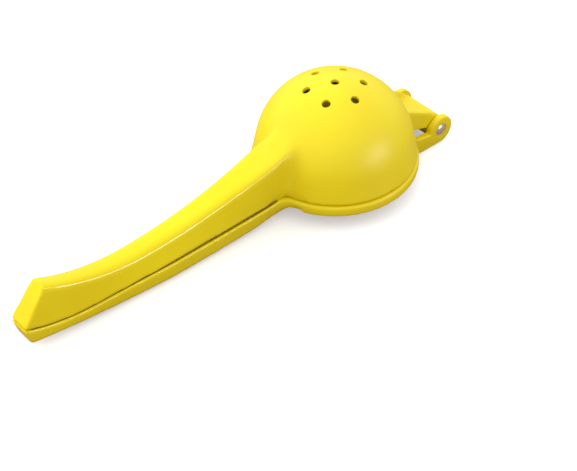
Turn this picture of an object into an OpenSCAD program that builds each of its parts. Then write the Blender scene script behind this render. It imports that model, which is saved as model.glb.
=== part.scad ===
// Hinged lemon squeezer: two cast arms that turn on one steel pin.
//
// The arms are drawn in design axes: the origin is on the bowl's axis, in the
// parting plane where the arms meet. +X runs from the bowl to the hinge, Y lies
// along the hinge pin and Z is up. stand() then tips the closed squeezer until it
// stands on its hinge ears and its handle, with the floor at Z = 0.

/* [Bowl] */
// Outer radius of the dome
bowl_r = 32.6; // [28:0.2:40]
// Height of the dome's centre above the parting plane
dome_lift = 3.2; // [0:0.1:6]
// Draft of the skirt under the dome, in degrees from upright
skirt_draft = 12; // [4:0.5:16]
// Wall of the bowl
bowl_wall = 3; // [2:0.1:4]

/* [Drain holes] */
// Diameter of each hole
hole_d = 3.6; // [2:0.1:6]
// Number of holes in the ring around the centre hole
ring_holes = 6; // [3:1:9]
// Angle between the centre hole and the ring, seen from the dome's centre
ring_angle = 21; // [15:0.5:35]

/* [Plunger] */
// Outer radius of the plunger's dome
plunger_r = 25.5; // [20:0.5:27]
// Wall of the plunger
plunger_wall = 3; // [2:0.1:4]
// Draft of the hollow under the plunger
hollow_draft = 6; // [2:0.5:10]
// Height of the flange around the plunger
flange_h = 5; // [3:0.2:7]
// How far the flange stands out past the bowl's rim
flange_ledge = 0.5; // [0.2:0.1:1.2]
// Rounding of the flange's edges
flange_round = 1.2; // [0.4:0.1:1.4]

/* [Handles] */
// Distance from the bowl's axis to the tip of the handles
handle_l = 155; // [135:1:180]
// Width of both handles at the parting line, from the bowl to the grip
handle_w = 15.2; // [13:0.2:18]
// Width of both handles at the parting line at the tip
tip_w = 9.6; // [8:0.2:12]
// Distance from the bowl's axis to where the handles begin to narrow
taper_x = 90; // [70:1:110]
// Draft of the upper handle's sides, in degrees from upright
side_draft = 13; // [6:0.5:15]
// Draft of the lower handle's sides, in degrees from upright
belly_draft = 4; // [1:0.5:8]
// Width of the upper handle's back at the tip
back_tip_w = 7.4; // [6.6:0.2:9]
// Width of the upper handle's back where it begins to flare towards the bowl
back_w = 9.2; // [8:0.2:12]
// Distance from the bowl's axis to where the back begins to flare
flare_x = 95; // [80:1:110]
// Radius of the flare
flare_r = 500; // [400:10:700]
// Wall of the hollow handles, at the sides, the back and the tip
handle_wall = 2.8; // [2:0.1:3.6]
// Gap between the closed arms
arm_gap = 0.4; // [0.3:0.05:0.8]
// Radius of the hollow corner where a handle leaves the round bowl
neck_fillet = 5.5; // [3:0.5:8]

/* [Handle curves] */
// Height of the upper handle's back at its lowest place
back_h = 10.4; // [8:0.1:12]
// Distance from the bowl's axis to that lowest place
back_x = 103; // [95:1:112]
// Radius of the back's curve from there up to the bowl
back_bowl_r = 245; // [200:5:300]
// Radius of the back's curve from there up to the tip
back_tip_r = 86; // [76:1:120]
// Depth of the lower handle at its deepest place
belly_h = 9.3; // [8:0.1:12]
// Distance from the bowl's axis to that deepest place
belly_x = 65; // [50:1:75]
// Radius of the lower handle's long belly curve
belly_r = 680; // [500:10:900]
// Distance from the bowl's axis to where the belly meets the flange's underside
root_x = 24; // [23:0.5:28]
// Radius of the belly's turn up to the flange
root_r = 15; // [10:1:25]
// Distance from the bowl's axis to where the parting line begins to rise
bend_x = 125; // [115:1:130]
// Radius of the parting line's rise to the tip
bend_r = 82; // [70:1:120]
// Slant of the upper handle's end face, in degrees from upright
upper_slant = 37; // [10:1:45]
// Slant of the lower handle's end face, in degrees from upright
lower_slant = 14; // [0:1:30]

/* [Hinge] */
// Distance from the bowl's axis to the pin
pin_x = 48.6; // [46:0.1:56]
// Depth of the pin below the parting plane
pin_drop = 7; // [6:0.1:8]
// Diameter of the pin
pin_d = 5.6; // [4:0.1:6]
// How far the pin's ends stand out of the ears' outer faces
pin_proud = 0.3; // [0.1:0.1:0.8]
// Bevel on the pin's ends
pin_bevel = 0.5; // [0.2:0.1:0.8]
// Radial clearance of the pin in the barrel
pin_clearance = 0.06; // [0.02:0.01:0.1]
// Width over both ears
hinge_w = 27; // [22:0.5:32]
// Thickness of each ear
ear_t = 2.6; // [2:0.1:4]
// Outer radius of the ears
ear_r = 6.4; // [6:0.1:7]
// Clearance between the barrel's ends and the ears
side_clearance = 0.3; // [0.3:0.05:0.6]
// Outer radius of the barrel
barrel_r = 4.9; // [4.4:0.1:5.4]
// Thickness of the barrel's two ribs
rib_t = 2.2; // [1.6:0.1:3]
// Height on the bowl at which the ribs start
rib_h = 11; // [8:0.5:14]
// Slope of the ribs' top edges, in degrees
rib_slope = 29; // [24:1:34]
// Distance from the pin back to where the top edges turn down to the barrel
rib_turn = 3; // [1:0.5:5]
// Thickness of the web between the bowl and the barrel
web_t = 2.8; // [2:0.1:3.6]
// Height of the web's middle where it leaves the bowl
web_h = 1; // [0.6:0.1:2]
// Height of the web's middle above the pin where it meets the barrel
web_rise = 2.9; // [2.7:0.1:4.2]
// Length of the flat foot under each ear
foot_l = 12; // [8:0.5:14]

/* [Hidden] */

$fn = 96;
BIG_FN = 720;               // segments of the long, shallow curves
ENAMEL = "#f3dc1e";
STEEL = "#c8c8cc";
CUT = 1;                    // how far a cutting shape runs past what it cuts
FAR = 60;                   // half the size of a region that stands for a half-plane
DRAIN_L = 12;               // length of the drills, more than the bowl's wall

handle_far = handle_l + 10;
cavity_r = bowl_r - bowl_wall;
hollow_r = plunger_r - plunger_wall;
rim_r = bowl_r / cos(skirt_draft) + dome_lift * tan(skirt_draft);
flange_r = rim_r + flange_ledge;
flange_top = -arm_gap / 2;
flange_bottom = flange_top - flange_h;
barrel_w = hinge_w - 2 * (ear_t + side_clearance);
pin_z = -pin_drop;
pin_l = hinge_w + 2 * pin_proud;
channel_x = rim_r + handle_wall;

// Crossing of two circles, on the left of the line from c1 to c2
function crossing(c1, r1, c2, r2) =
    let (
        line = c2 - c1,
        d = norm(line),
        along = (r1 * r1 - r2 * r2 + d * d) / (2 * d),
        off = sqrt(r1 * r1 - along * along)
    )
    c1 + (along * line + off * [-line[1], line[0]]) / d;

// Where the upper handle's back enters the middle of the bowl's wall
bowl_entry = crossing(
    [0, dome_lift], bowl_r - bowl_wall / 2,
    [-back_x, back_h + back_bowl_r], back_bowl_r
);

// Tip of the handles, on the parting line
tip = [-handle_l, bend_r - sqrt(pow(bend_r, 2) - pow(handle_l - bend_x, 2))];

// The floor touches the ears' circle and the belly's circle from below
belly_centre = [-belly_x, belly_r - belly_h];
rest_tilt = acos((belly_r - ear_r) / norm(belly_centre - [pin_x, pin_z]))
    - atan((pin_x + belly_x) / (belly_centre[1] - pin_z));

// A point [x, z] of the design axes after the tip of rest_tilt
function tipped(p) = [
    p[0] * cos(rest_tilt) - p[1] * sin(rest_tilt),
    p[0] * sin(rest_tilt) + p[1] * cos(rest_tilt)
];
stand_h = ear_r - tipped([pin_x, pin_z])[1];
middle_x = (tipped([pin_x, pin_z])[0] + ear_r + tipped(tip)[0]) / 2;

// Puts what is drawn in design axes on the floor, centred over the origin
module stand() {
    translate([-middle_x, 0, stand_h])
        rotate([0, -rest_tilt, 0])
            children();
}

// Extrudes a shape of the XZ plane along Y, centred or from y up
module side_extrude(width, y = undef) {
    translate([0, is_undef(y) ? width / 2 : y + width, 0])
        rotate([90, 0, 0])
            linear_extrude(width)
                children();
}

// Half section of a dome that turns into a drafted skirt, down to depth below
module cup_section(r, lift, draft, below = 0) {
    tangent_z = lift + r * sin(draft);
    intersection() {
        translate([0, lift]) circle(r);
        translate([0, tangent_z]) square(r);
    }
    polygon([
        [0, -below],
        [r / cos(draft) + (lift + below) * tan(draft), -below],
        [r * cos(draft), tangent_z],
        [0, tangent_z]
    ]);
}

// Half section of the flange, its edges rounded
module flange_section() {
    x = flange_r - flange_round;
    translate([0, flange_bottom]) square([x, flange_h]);
    for (z = [flange_bottom + flange_round, flange_top - flange_round])
        translate([x, z]) circle(flange_round);
    translate([0, flange_bottom + flange_round])
        square([flange_r, flange_h - 2 * flange_round]);
}

// Everything above the parting line, raised by clear
module above_parting(clear) {
    translate([-bend_x, clear]) square([bend_x + FAR, FAR]);
    intersection() {
        translate([-bend_x, bend_r]) circle(bend_r - clear, $fn = BIG_FN);
        translate([-handle_far, -FAR / 2]) square([handle_far - bend_x, 2 * FAR]);
    }
}

// Everything under the upper handle's back, lowered by depth
module below_back(depth) {
    difference() {
        translate([-handle_far, -FAR / 2]) square([handle_far, 1.5 * FAR]);
        intersection() {
            translate([-back_x, back_h + back_bowl_r])
                circle(back_bowl_r + depth, $fn = BIG_FN);
            translate([-back_x, 0]) square([back_x + CUT, 2 * FAR]);
        }
        intersection() {
            translate([-back_x, back_h + back_tip_r])
                circle(back_tip_r + depth, $fn = BIG_FN);
            translate([-back_x - FAR - CUT, 0]) square([FAR + CUT, 2 * FAR]);
        }
    }
}

// Everything above the lower handle's belly, raised by depth
module above_belly(depth) {
    intersection() {
        translate(belly_centre) circle(belly_r - depth, $fn = BIG_FN);
        translate([-handle_far, -FAR / 2]) square([handle_far, FAR]);
    }
}

// Everything before the belly's turn up to the flange's underside
module before_root() {
    low = belly_r - belly_h - sqrt(pow(belly_r, 2) - pow(root_x - belly_x, 2));
    rise = flange_bottom - low;
    run = sqrt(pow(root_r, 2) - pow(root_r - rise, 2));
    translate([-root_x - run, low + root_r]) circle(root_r);
    translate([-handle_far, -FAR]) square([handle_far - root_x - run, 2 * FAR]);
    translate([-handle_far, flange_bottom]) square([handle_far, FAR]);
}

// Everything on the bowl's side of the two end faces, moved in by inset
module behind_tip(inset = 0) {
    translate([tip[0] + inset, tip[1]])
        polygon([
            [0, 0],
            FAR * [tan(upper_slant), 1],
            [handle_far, FAR],
            [handle_far, -FAR],
            FAR * [tan(lower_slant), -1]
        ]);
}

// Handle seen from above, from the bowl's axis to past the tip, less inset each side
module handle_plan(inset = 0, from_x = 0) {
    w = handle_w / 2 - inset;
    t = tip_w / 2 - inset;
    polygon([
        [-from_x, -w], [-taper_x, -w], [tip[0], -t], [-handle_far, -t],
        [-handle_far, t], [tip[0], t], [-taper_x, w], [-from_x, w]
    ]);
}

// Upper handle's back seen from above, less inset each side
module back_plan(inset) {
    w = back_w / 2 - inset;
    t = back_tip_w / 2 - inset;
    polygon([[-flare_x, -w], [tip[0], -t], [-handle_far, -t], [-handle_far, t], [tip[0], t], [-flare_x, w]]);
    difference() {
        translate([-flare_x, -handle_w]) square([flare_x, 2 * handle_w]);
        for (side = [-1, 1])
            translate([-flare_x, side * (w + flare_r)]) circle(flare_r, $fn = BIG_FN);
    }
}

module plan_extrude() {
    translate([0, 0, -FAR]) linear_extrude(2 * FAR) children();
}

// Everything between two handle sides that lean in upwards by draft from the parting line
module between_sides(inset, draft) {
    w = handle_w / 2 - inset;
    t = tip_w / 2 - inset + tip[1] * tan(draft);
    taper = atan((w - t) / (handle_l - taper_x));
    difference() {
        translate([-handle_far, -handle_w, -FAR]) cube([handle_far, 2 * handle_w, 2 * FAR]);
        for (flip = [0, 1], turn = [0, taper])
            mirror([0, flip, 0])
                translate([-taper_x, w, 0])
                    rotate([draft, 0, turn])
                        translate([-2 * FAR, 0, -2 * FAR])
                            cube([4 * FAR, 2 * FAR, 4 * FAR]);
    }
}

// Upper handle's solid form, or its channel where depth and inset are the wall
module upper_handle(depth = 0, clear = arm_gap / 2, from_x = 0) {
    intersection() {
        side_extrude(2 * handle_w)
            intersection() {
                above_parting(clear);
                below_back(depth);
                behind_tip(depth);
            }
        plan_extrude() handle_plan(depth, from_x);
        union() {
            between_sides(depth, side_draft);
            plan_extrude() back_plan(depth);
        }
    }
}

// Lower handle's solid form, or its channel where depth and inset are the wall
module lower_handle(depth = 0, clear = arm_gap / 2, from_x = 0) {
    intersection() {
        side_extrude(2 * handle_w)
            difference() {
                intersection() {
                    above_belly(depth);
                    before_root();
                    behind_tip(depth);
                }
                above_parting(-clear);
            }
        plan_extrude() handle_plan(depth, from_x);
        between_sides(depth, -belly_draft);
    }
}

// Rolling-ball fillet between a ball of radius r and both sides of a handle
module neck_fillets(r) {
    side = handle_w / 2;
    ball = [sqrt(pow(r + neck_fillet, 2) - pow(side + neck_fillet, 2)), side + neck_fillet];
    touch = ball * r / (r + neck_fillet);
    for (flip = [0, 1])
        mirror([0, flip, 0])
            difference() {
                polygon([[-ball[0], 0], -[ball[0], -ball[1]], [-touch[0], touch[1]], [-touch[0], 0]]);
                translate([-ball[0], ball[1]]) circle(neck_fillet);
            }
}

// Drills for the centre hole and the ring of holes
module drain_holes() {
    translate([0, 0, dome_lift]) {
        translate([0, 0, bowl_r - DRAIN_L / 2]) cylinder(h = DRAIN_L, d = hole_d);
        for (i = [0 : ring_holes - 1])
            rotate([0, 0, 30 + i * 360 / ring_holes])
                rotate([0, ring_angle, 0])
                    translate([0, 0, bowl_r - DRAIN_L / 2])
                        cylinder(h = DRAIN_L, d = hole_d);
    }
}

module along_pin(r, width) {
    translate([pin_x, 0, pin_z])
        rotate([90, 0, 0])
            cylinder(r = r, h = width, center = true);
}

// Rib from the bowl to the pin, its top edge turned down onto the barrel
module rib_side() {
    start = [cavity_r, rib_h];
    turn_x = pin_x - rib_turn;
    turn = [turn_x, rib_h - (turn_x - cavity_r) * tan(rib_slope)];
    reach = turn - [pin_x, pin_z];
    angle = atan2(reach[1], reach[0]) - acos(barrel_r / norm(reach));
    touch = [pin_x, pin_z] + barrel_r * [cos(angle), sin(angle)];
    polygon([start, turn, touch, [pin_x, pin_z], [cavity_r, arm_gap / 2]]);
}

module web_side() {
    start = [cavity_r, web_h + (rim_r - cavity_r) / (pin_x - rim_r) * (web_h - pin_z - web_rise)];
    end = [pin_x, pin_z + web_rise];
    half = [0, web_t / 2];
    polygon([start + half, end + half, end - half, start - half]);
}

// Barrel, web and ribs of the bowl arm, clear of the flange below them
module hinge_lug() {
    difference() {
        union() {
            along_pin(barrel_r, barrel_w);
            side_extrude(barrel_w) web_side();
            for (y = [-barrel_w / 2, barrel_w / 2 - rib_t])
                side_extrude(rib_t, y) rib_side();
        }
        translate([0, 0, -FAR + arm_gap / 2])
            cylinder(r = flange_r + side_clearance, h = FAR);
    }
}

module bowl_arm() {
    color(ENAMEL) stand()
        difference() {
            union() {
                intersection() {
                    rotate_extrude() cup_section(bowl_r, dome_lift, skirt_draft);
                    translate([0, 0, arm_gap / 2]) cylinder(r = FAR, h = FAR);
                }
                upper_handle(from_x = -bowl_entry[0]);
                hinge_lug();
            }
            rotate_extrude() cup_section(cavity_r, dome_lift, skirt_draft, CUT);
            upper_handle(handle_wall, -CUT, channel_x);
            drain_holes();
            along_pin(pin_d / 2 + pin_clearance, 2 * hinge_w);
        }
}

// Ear with its strap back to the flange, on a flat foot along the floor
module ear_side() {
    foot = [cos(rest_tilt), -sin(rest_tilt)];
    heel = [pin_x, pin_z] - ear_r * [sin(rest_tilt), cos(rest_tilt)];
    root = [hollow_r + plunger_wall / 2, flange_bottom];
    translate([pin_x, pin_z]) circle(ear_r);
    polygon([
        heel,
        [pin_x, pin_z],
        [flange_r, flange_bottom],
        [flange_r - CUT, flange_bottom + CUT],
        root + [0, CUT],
        root,
        heel - foot_l * foot
    ]);
}

module plunger_arm() {
    color(ENAMEL) stand()
        difference() {
            union() {
                rotate_extrude() flange_section();
                intersection() {
                    sphere(plunger_r);
                    translate([0, 0, flange_bottom]) cylinder(r = FAR, h = FAR);
                }
                translate([0, 0, flange_bottom]) linear_extrude(flange_h) neck_fillets(flange_r);
                lower_handle();
                for (y = [-hinge_w / 2, hinge_w / 2 - ear_t])
                    side_extrude(ear_t, y) ear_side();
            }
            rotate_extrude() cup_section(hollow_r, 0, hollow_draft, flange_h + belly_h);
            lower_handle(handle_wall, -CUT, channel_x);
            along_pin(pin_d / 2, 2 * hinge_w);
        }
}

// Plain pin with bevelled ends, pressed into the ears
module hinge_pin() {
    color(STEEL) stand()
        translate([pin_x, pin_l / 2, pin_z])
            rotate([90, 0, 0])
                rotate_extrude()
                    polygon([
                        [0, 0], [pin_d / 2 - pin_bevel, 0], [pin_d / 2, pin_bevel],
                        [pin_d / 2, pin_l - pin_bevel], [pin_d / 2 - pin_bevel, pin_l], [0, pin_l]
                    ]);
}

bowl_arm();
plunger_arm();
hinge_pin();
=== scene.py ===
"""Models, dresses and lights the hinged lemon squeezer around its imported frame.

The castings are modelled in millimetres in the squeezer's design axes: the origin is
on the bowl's axis in the parting plane, +X runs to the hinge, Y lies along the pin and
Z is up. Each finished piece is then stood on the floor, in metres.
"""

import logging
import math
from collections.abc import Callable, Sequence
from dataclasses import dataclass, field
from enum import Enum

import bmesh
import bpy
from mathutils import Matrix, Vector


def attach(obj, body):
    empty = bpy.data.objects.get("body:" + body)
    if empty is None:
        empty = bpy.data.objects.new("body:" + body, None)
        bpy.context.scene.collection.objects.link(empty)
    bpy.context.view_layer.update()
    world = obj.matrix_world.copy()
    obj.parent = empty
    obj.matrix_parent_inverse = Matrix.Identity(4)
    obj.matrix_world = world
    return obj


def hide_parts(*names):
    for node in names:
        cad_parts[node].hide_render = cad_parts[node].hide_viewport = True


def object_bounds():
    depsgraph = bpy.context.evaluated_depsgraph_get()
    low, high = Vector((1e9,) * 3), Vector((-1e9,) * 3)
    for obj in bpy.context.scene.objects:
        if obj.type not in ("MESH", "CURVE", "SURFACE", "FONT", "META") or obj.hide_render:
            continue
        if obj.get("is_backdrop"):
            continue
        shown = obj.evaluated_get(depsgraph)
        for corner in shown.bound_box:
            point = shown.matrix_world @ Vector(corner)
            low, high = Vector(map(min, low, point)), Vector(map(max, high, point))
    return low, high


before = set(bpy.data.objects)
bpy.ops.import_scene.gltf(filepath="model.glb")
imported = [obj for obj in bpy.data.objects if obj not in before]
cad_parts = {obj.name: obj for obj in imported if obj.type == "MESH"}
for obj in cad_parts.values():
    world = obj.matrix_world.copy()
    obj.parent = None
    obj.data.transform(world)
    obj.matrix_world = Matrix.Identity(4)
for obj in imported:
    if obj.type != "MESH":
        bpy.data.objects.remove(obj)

LOG = logging.getLogger("squeezer")

MM = 0.001
IMAGE_W = 577
SENSOR_MM = 36.0
WHITE = (1.0, 1.0, 1.0, 1.0)

# How finely shapes are drawn.
SPIN_STEPS = 128
LIP_STEPS = 4
STATION_STEP = 3.0
END_ROUNDS = 40

# How near things lie that belong together, in millimetres.
WELD = 0.0005
SNAP = 0.01
LINE_REACH = 0.4
FACE_REACH = 0.2
OFF_AXIS = 3.0

Point2 = tuple[float, float]
Point3 = tuple[float, float, float]
Test = Callable[[Vector], bool]


class Cut(Enum):
    """What a boolean does with its tool."""

    UNITE = "UNION"
    REMOVE = "DIFFERENCE"


class Neck(Enum):
    """Parts of the corner between the dome and the handle."""

    SIDES = "sides"
    TOP = "top"
    ALL = "all"


# ---------------------------------------------------------------- bench tools


def clear_selection() -> None:
    """Leaves edit mode and selects nothing."""
    if bpy.context.object is not None and bpy.context.object.mode != "OBJECT":
        bpy.ops.object.mode_set(mode="OBJECT")
    bpy.ops.object.select_all(action="DESELECT")


def take(piece: bpy.types.Object) -> None:
    """Selects one piece alone and makes it active.

    Args:
        piece: The piece.
    """
    clear_selection()
    piece.select_set(True)
    bpy.context.view_layer.objects.active = piece


def name_piece(name: str) -> bpy.types.Object:
    """Names the piece just made and its mesh.

    Args:
        name: The name of both.

    Returns:
        The piece.
    """
    piece = bpy.context.object
    piece.name = name
    piece.data.name = name
    return piece


def apply_place() -> None:
    """Applies the active piece's place, turn and size to its mesh."""
    bpy.ops.object.transform_apply(location=True, rotation=True, scale=True)


def extrude(step: Point3) -> None:
    """Extrudes the selection by a step."""
    bpy.ops.mesh.extrude_region_move(TRANSFORM_OT_translate={"value": step})


def draw_outline(name: str, points: Sequence[Point3]) -> bpy.types.Object:
    """Draws a chain of edges from one vertex by extruding it from point to point.

    Args:
        name: Name of the new piece.
        points: Corners of the outline in order.

    Returns:
        The piece, left in edit mode with the whole chain selected.
    """
    clear_selection()
    bpy.ops.mesh.primitive_plane_add(size=1.0, location=points[0])
    piece = name_piece(name)
    apply_place()
    bpy.ops.object.mode_set(mode="EDIT")
    bpy.ops.mesh.select_all(action="SELECT")
    bpy.ops.mesh.merge(type="CENTER")
    for start, end in zip(points, points[1:]):
        step = tuple(b - a for a, b in zip(start, end))
        extrude(step)
    bpy.ops.mesh.select_all(action="SELECT")
    return piece


def close_mesh() -> None:
    """Welds doubles, points the faces outwards and leaves edit mode."""
    bpy.ops.mesh.select_all(action="SELECT")
    bpy.ops.mesh.remove_doubles(threshold=WELD)
    bpy.ops.mesh.normals_make_consistent(inside=False)
    bpy.ops.object.mode_set(mode="OBJECT")


def slab(name: str, outline: Sequence[Point2], y_low: float, width: float) -> bpy.types.Object:
    """Extrudes a side outline into a solid slab.

    Args:
        name: Name of the new piece.
        outline: Corners [x, z] of the side view.
        y_low: Where the slab's right side lies.
        width: Thickness along Y.

    Returns:
        The closed slab in object mode.
    """
    piece = draw_outline(name, [(x, y_low, z) for x, z in outline])
    bpy.ops.mesh.edge_face_add()
    extrude((0.0, width, 0.0))
    close_mesh()
    return piece


def plate(name: str, outline: Sequence[Point2], z_low: float, height: float) -> bpy.types.Object:
    """Extrudes a plan outline upwards into a solid plate.

    Args:
        name: Name of the new piece.
        outline: Corners [x, y] of the plan.
        z_low: Where the plate's underside lies.
        height: Thickness along Z.

    Returns:
        The closed plate in object mode.
    """
    piece = draw_outline(name, [(x, y, z_low) for x, y in outline])
    bpy.ops.mesh.edge_face_add()
    extrude((0.0, 0.0, height))
    close_mesh()
    return piece


@dataclass(frozen=True)
class Station:
    """One four-cornered section of a lofted body, even on both sides of the plane y = 0."""

    low: Point2
    low_half: float
    high: Point2
    high_half: float


def at_point(place: Vector, point: Point2) -> bool:
    """Tells whether a vertex stands at a point [x, z] of the side view."""
    return abs(place.x - point[0]) < SNAP and abs(place.z - point[1]) < SNAP


def beside_line(place: Vector, height: float, reach: float) -> bool:
    """Tells whether a place lies off the middle plane and within reach of a height."""
    return abs(place.z - height) < reach and abs(place.y) > OFF_AXIS


def move_edge(piece: bpy.types.Object, start: Point2, end: Point2, ratio: float) -> None:
    """Moves and widens the crosswise edge that stands at a point of the side view.

    Args:
        piece: The piece, in edit mode.
        start: Where the edge stands, as [x, z].
        end: Where it goes.
        ratio: How much wider it becomes.
    """
    select_vertices(piece, lambda p: at_point(p, start))
    bpy.ops.transform.translate(value=(end[0] - start[0], 0.0, end[1] - start[1]))
    bpy.ops.transform.resize(value=(1.0, ratio, 1.0), center_override=(end[0], 0.0, end[1]))


def lofted(name: str, stations: Sequence[Station]) -> bpy.types.Object:
    """Extrudes a four-cornered section from station to station into a closed body.

    Args:
        name: Name of the new piece.
        stations: The sections in order along the body.

    Returns:
        The body in object mode.
    """
    x, z = stations[0].low
    half = 1.0
    clear_selection()
    bpy.ops.mesh.primitive_plane_add(
        size=2 * half, location=(x, 0.0, z), rotation=(0.0, math.pi / 2, 0.0)
    )
    piece = name_piece(name)
    apply_place()
    bpy.ops.object.mode_set(mode="EDIT")
    bpy.ops.mesh.select_all(action="SELECT")
    last = Station((x, z - half), half, (x, z + half), half)
    for count, station in enumerate(stations):
        low, high = last.low, last.high
        if count:
            step_x = station.low[0] - low[0]
            step_z = station.low[1] - low[1]
            extrude((step_x, 0.0, step_z))
            low = station.low
            high = (high[0] + step_x, high[1] + step_z)
        move_edge(piece, low, station.low, station.low_half / last.low_half)
        move_edge(piece, high, station.high, station.high_half / last.high_half)
        ends = (station.low, station.high)
        select_vertices(piece, lambda p, ends=ends: any(at_point(p, end) for end in ends))
        last = station
    close_mesh()
    return piece


def turned(name: str, section: Sequence[Point2], steps: int = SPIN_STEPS) -> bpy.types.Object:
    """Spins a half section round the Z axis into a closed solid.

    Args:
        name: Name of the new piece.
        section: Corners [radius, height] from the top of the axis round to its bottom.
        steps: Faces round the axis.

    Returns:
        The solid in object mode.
    """
    piece = draw_outline(name, [(r, 0.0, z) for r, z in section])
    bpy.ops.mesh.spin(
        steps=steps, angle=math.tau, center=(0.0, 0.0, 0.0), axis=(0.0, 0.0, 1.0), use_auto_merge=True
    )
    close_mesh()
    return piece


def rod(name: str, radius: float, width: float, centre: Point2, sides: int) -> bpy.types.Object:
    """Makes a rod that lies along Y.

    Args:
        name: Name of the new piece.
        radius: Radius of the rod.
        width: Length along Y, half to each side.
        centre: Where its axis passes, as [x, z].
        sides: Faces round the rod.

    Returns:
        The rod in object mode.
    """
    clear_selection()
    bpy.ops.mesh.primitive_cylinder_add(
        vertices=sides, radius=radius, depth=width, location=(centre[0], 0.0, centre[1]),
        rotation=(math.pi / 2, 0.0, 0.0),
    )
    piece = name_piece(name)
    apply_place()
    return piece


def place(piece: bpy.types.Object, matrix: Matrix) -> None:
    """Moves a piece by a matrix and applies it, so its object stays at the origin.

    Args:
        piece: The piece to move.
        matrix: Where it goes from where it is.
    """
    take(piece)
    piece.matrix_world = matrix @ piece.matrix_world
    apply_place()


def copy_of(piece: bpy.types.Object, name: str) -> bpy.types.Object:
    """Duplicates a piece with a mesh of its own.

    Args:
        piece: The piece to copy.
        name: Name of the copy.

    Returns:
        The copy.
    """
    take(piece)
    bpy.ops.object.duplicate(linked=False)
    return name_piece(name)


def join(pieces: Sequence[bpy.types.Object], name: str) -> bpy.types.Object:
    """Joins several pieces into one object of several shells.

    Args:
        pieces: The pieces, of which the first takes in the others.
        name: Name of the whole.

    Returns:
        The whole.
    """
    take(pieces[0])
    for piece in pieces:
        piece.select_set(True)
    bpy.ops.object.join()
    return name_piece(name)


def apply_modifier(piece: bpy.types.Object, modifier: bpy.types.Modifier) -> None:
    """Applies one modifier to its piece."""
    take(piece)
    bpy.ops.object.modifier_apply(modifier=modifier.name)


def combine(piece: bpy.types.Object, tool: bpy.types.Object, cut: Cut) -> None:
    """Applies a boolean with a tool and removes the tool.

    Args:
        piece: The piece that changes.
        tool: The other solid, used up by the cut.
        cut: What to do with the tool.
    """
    modifier = piece.modifiers.new("Cut", "BOOLEAN")
    modifier.operation = cut.value
    modifier.solver = "EXACT"
    modifier.object = tool
    apply_modifier(piece, modifier)
    bpy.data.objects.remove(tool)


def weld_skin(piece: bpy.types.Object, voxel: float) -> None:
    """Melts overlapping shells into one cast skin with small even faces.

    Args:
        piece: The piece, of one or more closed shells.
        voxel: Size of the faces.
    """
    modifier = piece.modifiers.new("Skin", "REMESH")
    modifier.mode = "VOXEL"
    modifier.voxel_size = voxel
    modifier.use_smooth_shade = True
    apply_modifier(piece, modifier)


def ease(piece: bpy.types.Object, repeat: int, test: Test | None = None) -> None:
    """Eases the edges of a fine skin, as molten metal and enamel leave them.

    Args:
        piece: The piece with a fine, even mesh.
        repeat: Number of smoothing passes.
        test: Which vertices to ease, or None for all.
    """
    take(piece)
    bpy.ops.object.mode_set(mode="EDIT")
    if test is None:
        bpy.ops.mesh.select_all(action="SELECT")
    else:
        select_vertices(piece, test)
    bpy.ops.mesh.vertices_smooth(factor=0.5, repeat=repeat)
    bpy.ops.object.mode_set(mode="OBJECT")


def select_vertices(piece: bpy.types.Object, test: Test) -> None:
    """Selects the vertices of a piece in edit mode that pass a test of their place.

    Args:
        piece: The piece.
        test: Which vertices, by their places.
    """
    bpy.ops.mesh.select_all(action="DESELECT")
    bpy.ops.mesh.select_mode(type="VERT")
    mesh = bmesh.from_edit_mesh(piece.data)
    for vertex in mesh.verts:
        vertex.select = test(vertex.co)
    mesh.select_flush_mode()
    bmesh.update_edit_mesh(piece.data)


def round_edges(
    piece: bpy.types.Object, radius: float, segments: int, test: Test, sharp_deg: float = 40.0
) -> None:
    """Rounds the sharp edges whose middles pass a test.

    Args:
        piece: The piece to round.
        radius: Radius of the rounding.
        segments: Faces across the rounding.
        test: Which edges, by their middle points.
        sharp_deg: How sharply the two faces have to meet.
    """
    take(piece)
    bpy.ops.object.mode_set(mode="EDIT")
    bpy.ops.mesh.select_all(action="DESELECT")
    bpy.ops.mesh.select_mode(type="EDGE")
    mesh = bmesh.from_edit_mesh(piece.data)
    for edge in mesh.edges:
        middle = (edge.verts[0].co + edge.verts[1].co) / 2
        sharp = len(edge.link_faces) == 2 and edge.calc_face_angle(0.0) > math.radians(sharp_deg)
        edge.select = sharp and test(middle)
    mesh.select_flush_mode()
    bmesh.update_edit_mesh(piece.data)
    bpy.ops.mesh.bevel(
        offset_type="OFFSET", offset=radius, segments=segments, profile=0.5, affect="EDGES",
        clamp_overlap=True,
    )
    bpy.ops.mesh.select_mode(type="VERT")
    bpy.ops.object.mode_set(mode="OBJECT")


def shade(piece: bpy.types.Object, angle_deg: float = 32.0) -> None:
    """Shades a piece smooth, with creases where faces meet more sharply than the angle."""
    take(piece)
    bpy.ops.object.shade_smooth_by_angle(angle=math.radians(angle_deg))


def arc(centre: Point2, radius: float, start_deg: float, end_deg: float, steps: int) -> list[Point2]:
    """Draws points along an arc.

    Args:
        centre: Centre of the arc.
        radius: Its radius.
        start_deg: Where it starts, in degrees.
        end_deg: Where it ends, in degrees.
        steps: Number of chords.

    Returns:
        The points, both ends included.
    """
    turn = math.radians(end_deg - start_deg) / steps
    first = math.radians(start_deg)
    return [
        (centre[0] + radius * math.cos(first + i * turn), centre[1] + radius * math.sin(first + i * turn))
        for i in range(steps + 1)
    ]


def spread(start: float, end: float, step: float) -> list[float]:
    """Spaces values evenly from start to end, about a step apart.

    Args:
        start: The first value.
        end: The last value.
        step: The spacing wanted.

    Returns:
        The values, both ends included.
    """
    count = max(1, round(abs(end - start) / step))
    return [start + (end - start) * i / count for i in range(count + 1)]


# ---------------------------------------------------------------- finishes


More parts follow.
